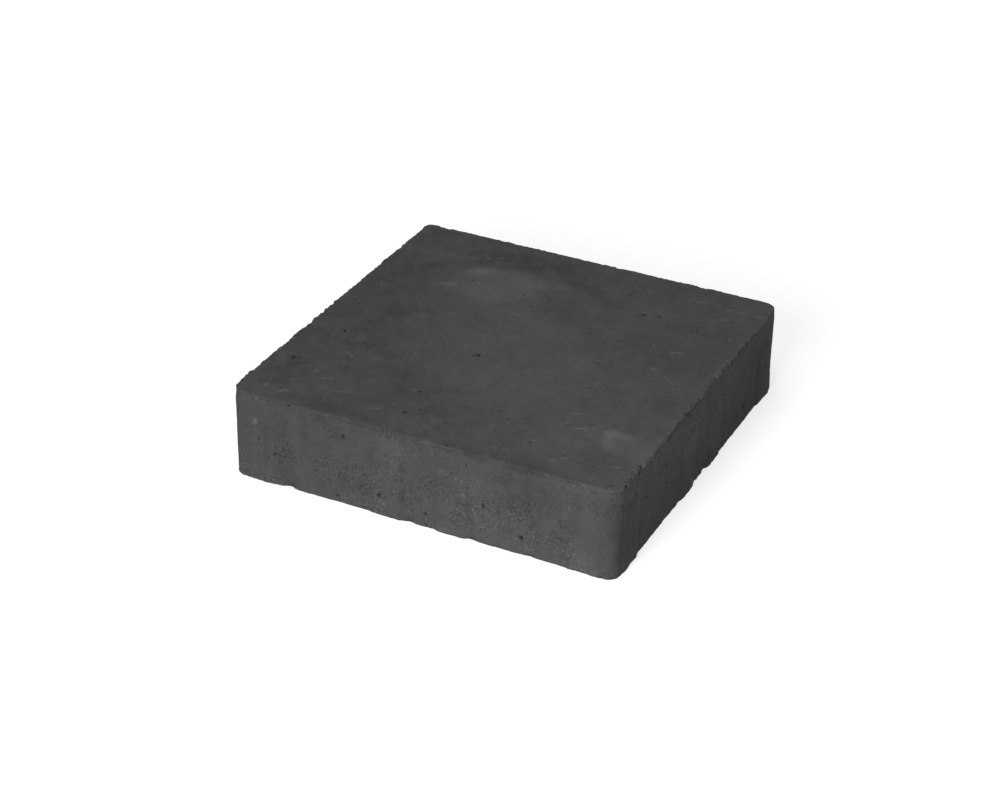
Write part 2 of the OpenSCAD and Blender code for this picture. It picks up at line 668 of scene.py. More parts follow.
@dataclass(frozen=True)
class PressedBlock:
    """The stone's block: rings skinned round a rounded plan, with its nibs, wear, pores and chips."""

    length: float
    width: float
    thickness: float
    scars: tuple[Scar, ...]
    face_pores: tuple[Pore, ...]
    side_pores: SidePores
    nibs: SpacerNibs = SpacerNibs()
    grain: FaceGrain = FaceGrain()
    arrises: ArrisWear = ArrisWear()
    joint: float = 3.0
    corner_radius: float = 9.0
    top_arris: float = 1.2
    bed_arris: float = 0.5
    top_skin: float = 0.2
    bed_skin: float = 0.12
    rim: float = 5.0
    top_arris_rings: int = 5
    bed_arris_rings: int = 4
    along_step: float = 1.05
    rise_step: float = 1.5
    edge_step: float = 1.0
    face_step: float = 3.0
    bed_step: float = 6.0
    pore_seed: int = 11
    pore_squeeze: float = 0.62
    pore_room: float = 1.9
    pore_wobble: tuple[float, float] = (0.8, 1.2)
    pore_rings: tuple[PoreRing, ...] = (
        PoreRing(0.0, 1, 1.3, 1.0), PoreRing(0.7, 8, 1.1, 1.0), PoreRing(1.05, 10, 0.0, 0.0))

    @property
    def half(self) -> np.ndarray:
        """Half of the block along X and along Y, without its nibs."""
        return (np.array([self.length, self.width]) - self.joint) / 2

    def outline(self) -> tuple[np.ndarray, np.ndarray, np.ndarray]:
        """Walk round the rounded plan, anticlockwise from the front left corner.

        Returns:
            The points, the outward directions and the distances from the middle of their side.
        """
        points, outs, along = [], [], []
        for side in Side:
            out = np.array(side.value)
            run = np.array([-out[1], out[0]])
            flat = abs(run @ self.half) - self.corner_radius
            reach = abs(out @ self.half)
            steps = np.linspace(-flat, flat, round(2 * flat / self.along_step) + 1)
            points.append(out * reach + steps[:, None] * run)
            outs.append(np.repeat(out[None], len(steps), axis=0))
            along.append(np.abs(steps))
            turns = round(math.pi / 2 * self.corner_radius / self.along_step)
            angles = np.linspace(0.0, math.pi / 2, turns + 1)[1:-1]
            fan = np.cos(angles)[:, None] * out + np.sin(angles)[:, None] * run
            middle = out * (reach - self.corner_radius) + run * flat
            points.append(middle + fan * self.corner_radius)
            outs.append(fan)
            along.append(np.full(len(angles), flat + self.corner_radius))
        return np.concatenate(points), np.concatenate(outs), np.concatenate(along)

    def rings(self) -> list[Ring]:
        """The rings from the top face over its arris, down the sides and round under the bed arris.

        Returns:
            The rings, in that order.
        """
        top, bed = self.thickness - self.top_skin, self.bed_skin
        rings = [Ring(inset, top, inset, self.thickness, 0.0)
                 for inset in np.arange(self.rim, self.top_arris + self.edge_step / 2, -self.edge_step)]
        for angle in np.linspace(0.0, math.pi / 2, self.top_arris_rings):
            inset = self.top_arris * (1 - math.sin(angle))
            drop = self.top_arris * (1 - math.cos(angle))
            rings.append(Ring(inset, top - drop, abs(inset - drop) / 2, self.thickness, math.sin(angle)))
        shoulder = top - self.top_arris
        foot = bed + self.bed_arris
        collar = np.arange(shoulder - self.edge_step, shoulder - self.rim, -self.edge_step)
        rows = np.linspace(collar[-1], foot, round((collar[-1] - foot) / self.rise_step) + 1)[1:-1]
        rings += [Ring(0.0, level, top - level, level - bed, 1.0) for level in (*collar, *rows)]
        for angle in np.linspace(0.0, math.pi / 2, self.bed_arris_rings):
            inset = self.bed_arris * (1 - math.cos(angle))
            lift = self.bed_arris * (1 - math.sin(angle))
            rings.append(Ring(inset, bed + lift, top, abs(lift - inset) / 2, math.cos(angle)))
        rings += [Ring(inset, bed, top, inset, 0.0) for inset in (self.rim / 2, self.rim)]
        return rings

    def spread(self, step: float) -> np.ndarray:
        """Points in staggered rows that fill the plan inside its rim.

        Args:
            step: Distance between the points.
        Returns:
            The points.
        """
        margin = self.rim + self.face_step / 3
        reach = self.half - margin
        rows = np.arange(-reach[1], reach[1], step * math.sqrt(3) / 2)
        columns = np.arange(-reach[0], reach[0], step)
        shift = np.where(np.arange(len(rows)) % 2, step / 2, 0.0)
        across = columns[None, :] + shift[:, None]
        grid = np.column_stack([across.ravel(), np.repeat(rows, len(columns))])
        arm = np.abs(grid) - (self.half - self.corner_radius)
        gap = np.where((arm > 0).all(axis=1), self.corner_radius - np.linalg.norm(arm, axis=1),
                       (self.half - np.abs(grid)).min(axis=1))
        return grid[gap > margin]

    @staticmethod
    def filled(edge: np.ndarray, inner: np.ndarray) -> list[list[int]]:
        """Fill a face with triangles.

        Args:
            edge: The points of its edge, in order.
            inner: The points inside it.
        Returns:
            The triangles, by place in the edge's points followed by the inner ones.
        """
        flat = [Vector(point) for point in np.concatenate([edge, inner])]
        rim = [(i, (i + 1) % len(edge)) for i in range(len(edge))]
        _, _, triangles, origins, *_ = delaunay_2d_cdt(flat, rim, [], FILL_INSIDE, FILL_TOLERANCE)
        return [[origins[i][0] for i in triangle] for triangle in triangles]

    def pored(self, plain: np.ndarray) -> tuple[np.ndarray, np.ndarray, np.ndarray]:
        """Make room for the pores of the top face and set rings of points round each.

        Args:
            plain: The points that fill the face.
        Returns:
            The points with the pores' own, their depth below the face and how far inside a pore they are.
        """
        keep = np.ones(len(plain), dtype=bool)
        extra, depths, hollows = [], [], []
        rng = np.random.default_rng(self.pore_seed)
        turn = math.radians(DRAW_ANGLE)
        axes = np.array([[math.cos(turn), math.sin(turn)], [-math.sin(turn), math.cos(turn)]])
        axes[0] *= self.pore_squeeze
        for pore in self.face_pores:
            centre = np.array(pore.place[:2])
            keep &= np.linalg.norm(plain - centre, axis=1) > pore.radius * self.pore_room
            for ring in self.pore_rings:
                angles = np.linspace(0.0, 2 * math.pi, ring.count, endpoint=False) + rng.uniform(0, 1)
                radius = pore.radius * ring.radius * rng.uniform(*self.pore_wobble, ring.count)
                circle = np.column_stack([np.cos(angles), np.sin(angles)])
                extra.append(centre + circle * radius[:, None] @ axes)
                depths.append(np.full(ring.count, ring.depth * pore.radius))
                hollows.append(np.full(ring.count, ring.hollow))
        kept = plain[keep]
        level = np.zeros(len(kept))
        lists = ([kept, *extra], [level, *depths], [level, *hollows])
        return tuple(np.concatenate(parts) for parts in lists)

    def cage(self, name: str) -> bpy.types.Mesh:
        """Build the smooth block and keep on its points what the relief reads.

        Args:
            name: Name of the mesh.
        Returns:
            The closed mesh, in metres.
        """
        outline, outs, along = self.outline()
        rings = self.rings()
        count = len(outline)
        walls = [np.column_stack([outline - outs * ring.inset, np.full(count, ring.height)])
                 for ring in rings]
        ids = np.arange(count * len(rings)).reshape(len(rings), count)
        upper, lower = ids[:-1], ids[1:]
        quads = np.stack([upper, lower, np.roll(lower, -1, axis=1), np.roll(upper, -1, axis=1)], axis=-1)

        top, depth, hollow = self.pored(self.spread(self.face_step))
        bed = self.spread(self.bed_step)
        top_ids = np.concatenate([ids[0], ids.size + np.arange(len(top))])
        bed_ids = np.concatenate([ids[-1], ids.size + len(top) + np.arange(len(bed))])
        top_faces = [top_ids[three].tolist() for three in self.filled(walls[0][:, :2], top)]
        bed_faces = [bed_ids[three[::-1]].tolist() for three in self.filled(walls[-1][:, :2], bed)]
        points = np.concatenate([
            *walls,
            np.column_stack([top, self.thickness - self.top_skin - depth]),
            np.column_stack([bed, np.full(len(bed), self.bed_skin)]),
        ])

        mesh = bpy.data.meshes.new(name)
        mesh.from_pydata((points * MM).tolist(), [], quads.reshape(-1, 4).tolist() + top_faces + bed_faces)
        outward = np.zeros((len(points), 3))
        outward[:ids.size, :2] = np.tile(outs, (len(rings), 1))
        self.keep(mesh, "outward", outward)
        self.keep(mesh, "along", np.concatenate([np.tile(along, len(rings)), np.zeros(len(top) + len(bed))]))
        self.keep(mesh, "hollow", np.concatenate([np.zeros(ids.size), hollow, np.zeros(len(bed))]))
        for label in ("top_gap", "bed_gap", "side"):
            values = [getattr(ring, label) for ring in rings]
            counts = [*np.full(len(rings), count), len(top), len(bed)]
            self.keep(mesh, label, np.repeat([*values, values[0], values[-1]], counts))
        mesh.validate()
        mesh.update()
        return mesh

    @staticmethod
    def keep(mesh: bpy.types.Mesh, name: str, values: np.ndarray) -> None:
        """Keep a number or a vector for each point of a mesh.

        Args:
            mesh: The mesh.
            name: Name of the attribute.
            values: A number or three for each point.
        """
        kind, item = ("FLOAT_VECTOR", "vector") if values.ndim == 2 else ("FLOAT", "value")
        attribute = mesh.attributes.new(name, kind, "POINT")
        attribute.data.foreach_set(item, values.astype(np.float32).ravel())

    def relief(self, material: bpy.types.Material) -> bpy.types.GeometryNodeTree:
        """Build the tree that presses, pits and wears the smooth block, inside the stone's own box.

        Args:
            material: The finish of the stone.
        Returns:
            The geometry tree.
        """
        graph = BlockGraph(self.pore_seed)
        self.nibs.press(graph, self.length / 2)
        self.pit(graph)
        self.arrises.wear(graph, self.grain.lift(graph))
        x, y, z = (size * MM for size in (self.length / 2, self.width / 2, self.thickness))
        graph.keep_inside((-x, -y, 0.0), (x, y, z))
        graph.finish(material)
        return graph.tree

    def pit(self, graph: BlockGraph) -> None:
        """Work out how deep the pores and scars go, and how far inside one each point is.

        Args:
            graph: The tree to build in.
        """
        pores = self.side_pores.scatter(graph, self.arrises.raggedness(graph))
        dig, hollow = self.side_pores.craters(graph, pores)
        hollow = hollow.at_least(graph.read("hollow"))
        for scar in self.scars:
            bite = scar.bite(graph)
            dig = dig + bite * scar.depth
            if scar.depth > 0:
                hollow = hollow.at_least(bite * scar.shade)
        graph.store("dig", dig)
        # Hollow: how far inside a pore or chip each point lies; the finish darkens it there as painted shade
        graph.store("hollow", hollow)

    def build(self, name: str, material: bpy.types.Material) -> bpy.types.Object:
        """Build the worn block as a plain mesh.

        Args:
            name: Name of the piece.
            material: The finish of the stone.
        Returns:
            The piece, at the origin.
        """
        piece = linked(name, self.cage(name + "_cage"))
        tree = self.relief(material)
        press = piece.modifiers.new("press", "NODES")
        press.node_group = tree
        for item in tree.interface.items_tree:
            if item.in_out == "INPUT" and item.name in RELIEF_SIZES:
                press[item.identifier] = RELIEF_SIZES[item.name]
        graph = bpy.context.evaluated_depsgraph_get()
        worn = bpy.data.meshes.new_from_object(piece.evaluated_get(graph), depsgraph=graph)
        worn.name = name
        piece.modifiers.remove(press)
        piece.data = worn
        return piece


@dataclass(frozen=True)
class MixClouds:
    """Blotches that run through the whole mix: broad ones, and finer ones that are drawn out."""

    broad: Cloud = Cloud(50.0, 21, strength=0.2)
    middling: Cloud = Cloud(18.0, 22, rough=0.6, stretch=(1.0, 1.6, 1.0), strength=0.18)
    small: Cloud = Cloud(6.5, 39, rough=0.6, stretch=(1.0, 1.7, 1.0), strength=0.145)

    def tone(self, graph: FinishGraph) -> Wire:
        """What the blotches add to the tone."""
        finer = (graph.noise(cloud, graph.drawn) for cloud in (self.middling, self.small))
        return sum(finer, graph.noise(self.broad))


@dataclass(frozen=True)
class TopSkin:
    """The tight cement skin of the top face, with pale flecks and dark specks in loose drifts."""

    shade: float = 0.15
    drifts: Patches = Patches(Cloud(30.0, 26, 1.0), Slope(-0.2, 0.3, 0.15, 1.0))
    pale: Patches = Patches(Cloud(2.6, 27, rough=0.6, stretch=(1.7, 1.3, 1.0)), Slope(0.26, 0.42, 0.0, 0.32))
    dark: Patches = Patches(Cloud(2.4, 28, 1.0, stretch=(1.2, 1.4, 1.0)), Slope(0.36, 0.5, 0.0, 0.44))
    sand_strength: float = 0.11

    def tone(self, graph: FinishGraph, sand: Wire) -> Wire:
        """What the skin adds to the tone, where sand is the fine grain."""
        flecks = graph.patches(self.pale, graph.drawn) - graph.patches(self.dark, graph.drawn)
        return flecks * graph.patches(self.drifts) + sand * self.sand_strength - self.shade


@dataclass(frozen=True)
class OpenSand:
    """The open grain of the sides: worn grains, thin winding gaps and pale sand, denser low down.

    The right side is smoother low down, with soft blotches over that.
    """

    drifts: Patches = Patches(Cloud(20.0, 29, 1.0), Slope(-0.35, 0.25, 0.2, 1.0))
    drift_heights: tuple[float, float] = (20.0, 62.0)
    drift_at_foot: float = 1.07
    drift_at_top: float = 0.52
    more_right: float = 0.5
    on_right: Slope = Slope(146.5, 148.0)
    smooth_from: Slope = Slope(141.0, 147.0)
    smooth_below: Slope = Slope(26.0, 48.0, 1.0, 0.0)
    smooth_share: float = 0.8
    gaps: Cloud = Cloud(2.8, 30, 1.0)
    gap_edge: Slope = Slope(0.0, 0.1, 0.37, 0.0)
    pale: Patches = Patches(Cloud(2.0, 31, 1.0), Slope(0.24, 0.46, 0.0, 0.72))
    sand_strength: float = 0.56
    streaks: Cloud = Cloud(7.0, 32, stretch=(1.0, 1.0, 9.0))
    streak_strength: float = 0.12
    streaks_less: float = 0.05
    blotches: Cloud = Cloud(8.0, 43, 1.0, strength=0.24)
    foot: Slope = Slope(0.0, 14.0, 0.04, 0.0)

    def tone(self, graph: FinishGraph, sand: Wire) -> Wire:
        """What the open grain adds to the tone.

        Args:
            graph: The tree to build in.
            sand: The fine grain.
        Returns:
            The share of the tone.
        """
        right = graph.sloped(graph.x, self.on_right)
        smooth = graph.sloped(graph.x, self.smooth_from) * graph.sloped(graph.height, self.smooth_below)
        at_top = right * self.more_right + self.drift_at_top
        drift = graph.patches(self.drifts)
        drift = drift * graph.ramp(graph.height, *self.drift_heights, self.drift_at_foot, at_top)
        drift = drift * (1.0 - smooth * self.smooth_share)
        gaps = graph.sloped(graph.noise(self.gaps).size(), self.gap_edge)
        grain = graph.patches(self.pale) - gaps + sand * self.sand_strength
        calm = (smooth + right) * self.streaks_less
        streaks = graph.noise(self.streaks) * (self.streak_strength - calm)
        blotches = graph.noise(self.blotches) * right * (1.0 - smooth)
        return grain * drift + streaks + blotches + graph.sloped(graph.height, self.foot)


@dataclass(frozen=True)
class EdgeCrumbsAndPitShade:
    """Pale crumbs and painted shade of pits along the top arris, few in front, and pale burrs at the feet of
    nibs.
    """

    by_top: Slope = Slope(0.5, 5.0, 1.0, 0.0)
    broken: Patches = Patches(Cloud(15.0, 37, 1.0), Slope(-0.35, 0.1))
    crumbs: Patches = Patches(Cloud(2.6, 33, 1.0), Slope(0.15, 0.35, 0.0, 0.62))
    # Painted shade: dark spots that stand for shaded pits along the arris
    pit_shade: Patches = Patches(Cloud(2.8, 38, 1.0), Slope(0.18, 0.36, 0.0, 0.4))
    few_in_front: Slope = Slope(-148.5, -140.0, 0.15, 1.0)
    by_bed: Slope = Slope(1.0, 8.0, 1.0, 0.0)
    burrs: Patches = Patches(Cloud(8.0, 34), Slope(-0.2, 0.3, 0.0, 0.18))

    def tone(self, graph: FinishGraph) -> Wire:
        """What the crumbs, the painted pit shade and the burrs add to the tone.

        Args:
            graph: The tree to build in.
        Returns:
            The share of the tone.
        """
        edge = graph.sloped(graph.top_gap, self.by_top) * graph.patches(self.broken)
        edge = edge * graph.sloped(graph.y, self.few_in_front)
        burrs = graph.read("nib") * graph.sloped(graph.bed_gap, self.by_bed) * graph.patches(self.burrs)
        return (graph.patches(self.crumbs) - graph.patches(self.pit_shade)) * edge + burrs


@dataclass(frozen=True)
class RolledSkinAndArrisShade:
    """The dark top skin where it rolls over the arris, down to a wavy lower edge; over the arris it is also
    painted shade that dims its lit rounding.
    """

    depth: Patches = Patches(Cloud(22.0, 35, 1.0, stretch=(1.0, 1.0, 8.0)), Slope(-0.2, 0.45, -0.8, 3.6))
    edge: Cloud = Cloud(3.0, 36, strength=0.9)
    fade: Slope = Slope(-0.5, 0.5, 0.0, 0.16)

    def share(self, graph: FinishGraph, thickness: float) -> Wire:
        """How much the skin and its painted shade over the arris darken the sides."""
        above = graph.height - thickness + graph.patches(self.depth) + graph.noise(self.edge)
        return graph.sloped(above, self.fade) * graph.side


@dataclass(frozen=True)
class StainOrPaintedLight:
    """A pale or dark patch in the concrete's face, in millimetres and degrees about Z; most are stains, and
    some are painted light and shade.
    """

    place: Triple
    reach: Triple
    strength: float
    turn: float = 0.0
    soft: float = 0.7
    ragged: float = 1.0

    def tone(self, graph: FinishGraph, edge: Wire) -> Wire:
        """What the patch adds to the tone.

        Args:
            graph: The tree to build in.
            edge: What moves its edge in and out, in shares of its reach.
        Returns:
            The share of the tone.
        """
        shrink = tuple(1.0 / reach for reach in self.reach)
        arm = graph.turned(graph.away(self.place), self.turn)
        gap = graph.length(graph.vector("MULTIPLY", arm, shrink)) + edge * self.ragged
        return graph.ramp(gap, 1.0 - self.soft, 1.0, 1.0, 0.0) * self.strength


@dataclass(frozen=True)
class PressedConcrete:
    """Dark through-coloured concrete: a tight cement skin on top and an open, sandy grain on the sides."""

    thickness: float
    # Stains with the painted light and shade of the front and the right side, and small marks with two bands
    # of painted shade by nibs
    stains_and_painted_light: tuple[StainOrPaintedLight, ...]
    marks_and_shade: tuple[StainOrPaintedLight, ...]
    grey: float = 0.072
    least_grey: float = 0.004
    mix: MixClouds = MixClouds()
    skin: TopSkin = TopSkin()
    open_sand: OpenSand = OpenSand()
    # Pale crumbs and painted pit shade along the top arris, and pale burrs at the nibs' feet
    crumbs: EdgeCrumbsAndPitShade = EdgeCrumbsAndPitShade()
    rolled_skin_and_shade: RolledSkinAndArrisShade = RolledSkinAndArrisShade()
    sand: Cloud = Cloud(1.9, 23, rough=0.6)
    stain_and_light_edge: Cloud = Cloud(14.0, 25, 3.0, 0.6, strength=0.5)
    mark_and_shade_edge: Cloud = Cloud(2.6, 40, rough=0.6, strength=0.9)
    # Painted shade: the finish darkens pores and chips by up to this share, a little less on the sides by
    # the top arris
    hollow_shade: float = 0.85
    hollow_shade_eased_by_top: float = 0.2
    by_top: Slope = Slope(0.5, 4.0, 1.0, 0.0)
    flat_bump: float = 0.2
    side_bump: float = 0.6
    bump_strength: float = 0.6
    bump_depth: float = 0.4
    roughness: float = 0.92
    rough_spots: Cloud = Cloud(4.0, 24, strength=0.05)
    gloss: float = 0.15

    def material(self) -> bpy.types.Material:
        """Build the finish.

        Returns:
            The material.
        """
        material = bpy.data.materials.new("pressed_concrete")
        material.use_nodes = True
        graph = FinishGraph(material.node_tree)
        sand = graph.noise(self.sand)
        grey = (self.tone(graph, sand) * self.grey).at_least(self.least_grey)
        colour = graph.add("ShaderNodeCombineColor", dict.fromkeys(("Red", "Green", "Blue"), grey))
        bump = graph.add("ShaderNodeBump", {
            "Height": sand * (graph.side * self.side_bump + self.flat_bump),
            "Strength": self.bump_strength, "Distance": self.bump_depth * MM,
        })
        shader = graph.add("ShaderNodeBsdfPrincipled", {
            "Base Color": graph.out(colour), "Roughness": graph.noise(self.rough_spots) + self.roughness,
            "Normal": graph.out(bump), "Specular IOR Level": self.gloss,
        })
        graph.add("ShaderNodeOutputMaterial", {"Surface": graph.out(shader)})
        return material

    def tone(self, graph: FinishGraph, sand: Wire) -> Wire:
        """How pale or dark the concrete is at a point, with its painted light and shade.

        Args:
            graph: The tree to build in.
            sand: The fine grain.
        Returns:
            The factor on the concrete's grey.
        """
        side = graph.side
        tone = 1.0 + self.mix.tone(graph) + self.crumbs.tone(graph)
        tone = tone + self.skin.tone(graph, sand) * (1.0 - side)
        tone = tone + self.open_sand.tone(graph, sand) * side
        for stains_and_painted_light, edge_cloud in ((self.stains_and_painted_light, self.stain_and_light_edge), (self.marks_and_shade, self.mark_and_shade_edge)):
            edge = graph.noise(edge_cloud)
            for stain_or_light in stains_and_painted_light:
                tone = tone + stain_or_light.tone(graph, edge)
        # Painted shade in pores and chips
        by_top = graph.sloped(graph.top_gap, self.by_top) * side
        hollow = graph.read("hollow") * (self.hollow_shade - by_top * self.hollow_shade_eased_by_top)
        # The rolled skin: the dark top skin, partly painted shade over the lit arris
        return tone * (1.0 - hollow) * (1.0 - self.rolled_skin_and_shade.share(graph, self.thickness))


def direction(azimuth: float, elevation: float) -> Vector:
    """The direction from the stone at an azimuth and an elevation in degrees; azimuth 0 is the front."""
    turn, tip = math.radians(azimuth), math.radians(elevation)
    return Vector((math.sin(turn) * math.cos(tip), -math.cos(turn) * math.cos(tip), math.sin(tip)))


@dataclass(frozen=True)
class Viewpoint:
    """The photograph's camera, set by its angles about the middle of the stone."""

    azimuth: float = 25.80
    elevation: float = 30.225
    roll: float = 0.97
    distance: float = 1698.7
    slide_right: float = -9.67
    slide_up: float = -8.97
    lens: float = 83.5
    sensor: float = 36.0

    def build(self, middle: Vector) -> bpy.types.Object:
        """Make the camera and look through it.

        Args:
            middle: The middle of the stone, in metres.
        Returns:
            The camera.
        """
        back = direction(self.azimuth, self.elevation)
        turn, lean = math.radians(self.azimuth), math.radians(self.roll)
        level = Vector((math.cos(turn), math.sin(turn), 0.0))
        upright = back.cross(level)
        right = level * math.cos(lean) + upright * math.sin(lean)
        up = upright * math.cos(lean) - level * math.sin(lean)
        data = bpy.data.cameras.new("viewpoint")
        data.lens = self.lens
        data.sensor_width = self.sensor
        data.sensor_fit = "HORIZONTAL"
        camera = linked("viewpoint", data)
        spot = middle + (back * self.distance + right * self.slide_right + up * self.slide_up) * MM
        camera.matrix_world = Matrix.Translation(spot) @ Matrix((right, up, back)).transposed().to_4x4()
        bpy.context.scene.camera = camera
        return camera


@dataclass(frozen=True)
class SoftBox:
    """A studio soft box, aimed at the stone from an azimuth and an elevation."""

    name: str
    azimuth: float
    elevation: float
    distance: float
    width: float
    height: float
    watts: float

    def build(self, target: Vector) -> bpy.types.Object:
        """Hang the lamp.

        Args:
            target: Where it is aimed, in metres.
        Returns:
            The lamp.
        """
        back = direction(self.azimuth, self.elevation)
        data = bpy.data.lights.new(self.name, "AREA")
        data.shape = "RECTANGLE"
        data.size = self.width * MM
        data.size_y = self.height * MM
        data.energy = self.watts
        lamp = linked(self.name, data)
        lamp.location = target + back * self.distance * MM
        lamp.rotation_mode = "QUATERNION"
        lamp.rotation_quaternion = (-back).to_track_quat("-Z", "Y")
        return lamp


@dataclass(frozen=True)
class Studio:
    """A white floor and sky with soft boxes; the floor takes the stone's shadow."""

    floor_half: float = 6000.0
    floor_tone: float = 0.6
    near_glow: float = 0.6
    far_glow: float = 0.95
    near_reach: float = 200.0
    far_reach: float = 900.0
    sky: float = 0.24
    boxes: tuple[SoftBox, ...] = (
        SoftBox("key", 6.0, 28.0, 1150.0, 450.0, 450.0, 9.0),
        SoftBox("overhead", 0.0, 85.0, 1500.0, 1200.0, 1200.0, 8.0),
    )

    def build(self, target: Vector) -> None:
        """Set out the floor, the sky and the lamps round the stone.

        Args:
            target: The middle of the stone, in metres.
        """
        self.floor()
        self.world()
        for box in self.boxes:
            box.build(target)

    def floor(self) -> bpy.types.Object:
        """Lay the floor.

        Returns:
            The floor.
        """
        half = self.floor_half * MM
        mesh = bpy.data.meshes.new("floor")
        corners = [(-half, -half, 0.0), (half, -half, 0.0), (half, half, 0.0), (-half, half, 0.0)]
        mesh.from_pydata(corners, [], [(0, 1, 2, 3)])
        floor = linked("floor", mesh)
        material = bpy.data.materials.new("white_floor")
        material.use_nodes = True
        graph = Graph(material.node_tree)
        tone = (self.floor_tone, self.floor_tone, self.floor_tone, 1.0)
        matt = graph.out(graph.add("ShaderNodeBsdfDiffuse", {"Color": tone}))
        away = graph.length(graph.out(graph.add("ShaderNodeTexCoord"), "Object"))
        white = graph.ramp(away, self.near_reach * MM, self.far_reach * MM, self.near_glow, self.far_glow)
        glow = graph.out(graph.add("ShaderNodeEmission", {"Strength": self.shown(graph) * white}))
        both = graph.add("ShaderNodeAddShader")
        for socket, shader in zip(both.inputs, (matt, glow)):
            graph.plug(socket, shader)
        graph.add("ShaderNodeOutputMaterial", {"Surface": graph.out(both)})
        mesh.materials.append(material)
        return floor

    @staticmethod
    def shown(graph: Graph) -> Wire:
        """One where the camera sees the surface, straight, mirrored or through glass, and else zero.

        Args:
            graph: The tree to build in.
        Returns:
            The mask.
        """
        path = graph.add("ShaderNodeLightPath")
        rays = [graph.out(path, name) for name in ("Is Camera Ray", "Is Glossy Ray", "Is Transmission Ray")]
        return (rays[0] + rays[1] + rays[2]).at_most(1.0)

    def world(self) -> None:
        """Light the sky: white to the camera, an even grey to everything else."""
        world = bpy.data.worlds.new("even_sky")
        world.use_nodes = True
        graph = Graph(world.node_tree)
        strength = self.shown(graph) * (1.0 - self.sky) + self.sky
        sky = graph.add("ShaderNodeBackground", {"Color": (1.0, 1.0, 1.0, 1.0), "Strength": strength})
        graph.add("ShaderNodeOutputWorld", {"Surface": graph.out(sky)})
        bpy.context.scene.world = world


# Turn, softness and raggedness of a small blotch
BLOTCH = (0.0, 0.7, 0.4)

# Pores of the top face: X, Y and radius
TOP_PORES: Rows = (
    (-16.5, -24.5, 2.7), (-132, -88.5, 3), (-119, -38, 2.2), (-24, -121, 1.9), (65.5, 87, 2.5),
    (-100, 0.5, 1.2), (65.5, 4, 1.1), (-28, -91, 1.3), (-131, 4, 1.2), (-137.5, 24, 1.1), (-15, 60, 1.1),
    (69, -116.5, 1.3), (-108, -52, 1.1), (-27.5, 75, 1.1), (-127.5, -47, 1.1), (77, 89.5, 1.3),
    (-18.5, 40, 1.2), (-90.5, -83.5, 1.1), (-117, -132.5, 1.1),
)
# Pores of the sides: place along the side, height and radius
SIDE_PORES: dict[Side, Rows] = {
    Side.FRONT: (
        (49.5, 30, 1.9), (78.5, 13.5, 2.2), (-132, 39.5, 1.7), (-120.5, 14.5, 1.8), (-58, 55, 1.5),
    ),
    Side.RIGHT: (
        (102.5, 68, 1.9), (83.5, 68, 1.8), (66.5, 68, 1.9), (52, 68.5, 1.5), (36.5, 69, 1.7),
        (-10.5, 69, 1.6), (-29, 67.5, 2.6), (-59, 68, 2.1), (-65, 67.5, 1.8), (-84, 67.5, 1.7),
        (-91, 68, 1.5), (-111, 69, 1.8), (-115, 66.5, 1.7), (-127.5, 69, 1.8), (-136.5, 68.5, 1.6),
        (-100, 40, 1.3), (-65, 54, 1.1), (-65.5, 46, 1.1), (-37, 32, 1.1), (-79.5, 47, 1.1), (24, 50, 1.4),
        (39, 48, 1.3), (-118, 52, 1.4), (-63.5, 30.5, 1.1),
    ),
}
# Scars at the foot of the sides: place along the side, height, radius and depth
SIDE_SCARS: dict[Side, Rows] = {
    Side.FRONT: ((-102, 0, 7, 1.9), (-5.7, 0, 5, 0.8), (41, 0, 5, 0.6), (85, 0, 5, 0.6)),
    Side.RIGHT: ((8.5, 0, 5, 1.8), (-16, 3.5, 4, -0.8), (-8, 0, 4, 1)),
}

# Stains of the top face: X, Y, half length, half width, strength and any look of their own
TOP_STAINS: Rows = (
    (15, -20, 150, 65, 0.09, -45), (-132, 0, 50, 170, -0.13), (-65, -110, 125, 60, -0.12),
    (-88, -32, 36, 32, -0.14), (-92, -56, 26, 16, -0.08), (-101, 9, 18, 22, -0.13, 0, 0.8, 0.4),
    (-58, -66, 26, 34, -0.12, 0, 0.7, 0.5), (-15, -7, 32, 12, 0.11, -45, 0.7, 0.4), (92, -100, 24, 18, 0.08),
    (-137, -141, 18, 9, 0.04, 0, 0.8, 0.3), (-126, 141, 22, 10, -0.13), (-20, 134, 95, 18, -0.06, -8),
)
# The pale patch by the back, and the dark bands round it
PATCH_STAINS: Rows = (
    (-53, 80, 43, 34, 0.25, 27, 0.4, 0.3), (-66, 92, 30, 7, 0.08, 28, 0.5, 0.4), (-22, 95, 34, 12, 0.1, 20),
    (-108, 87, 16, 10, -0.12, 28), (-66, 124, 44, 14, -0.2, 12), (-45, 114, 27, 16, -0.24, 20, 0.9, 0.7),
    (-80, 106, 17, 7, -0.2, 20, 0.6, 0.5), (-5, 106, 14, 8, -0.16, 0, 0.7, 0.5),
    (0, 114, 58, 13, -0.12, -30), (43, 91, 20, 15, -0.17, 20, 0.9, 0.7),
)
# The pale smudge by the right arris: its head, limb, body and halo
SMUDGE_STAINS: Rows = (
    (114, -81.4, 8, 8, 0.48, 28, 0.7, 0.2), (124.5, -81.5, 13, 7, 0.3, -4, 0.9, 0.2),
    (116.5, -93.5, 7.5, 15, 0.27, 28, 0.7, 0.2), (127, -93, 30, 21, 0.19, 0, 0.7, 0.3),
)
TOP_BLOTCHES: Rows = (
    (-96, -136, 16, 8, -0.1), (-61, -103, 14, 10, -0.08), (-15, -79, 15, 12, -0.1), (-86, -4, 16, 12, -0.1),
    (53, -29, 16, 13, -0.1), (103, -83, 13, 13, 0.14), (11, -127, 17, 11, -0.1), (144, -63, 10, 10, -0.24),
    (99, -1, 16, 12, -0.09), (-37, -3, 15, 12, 0.09),
)
FRONT_EDGE_STAINS: Rows = ((75, -140, 100, 14, -0.02), (-50, -141, 110, 9, -0.07))
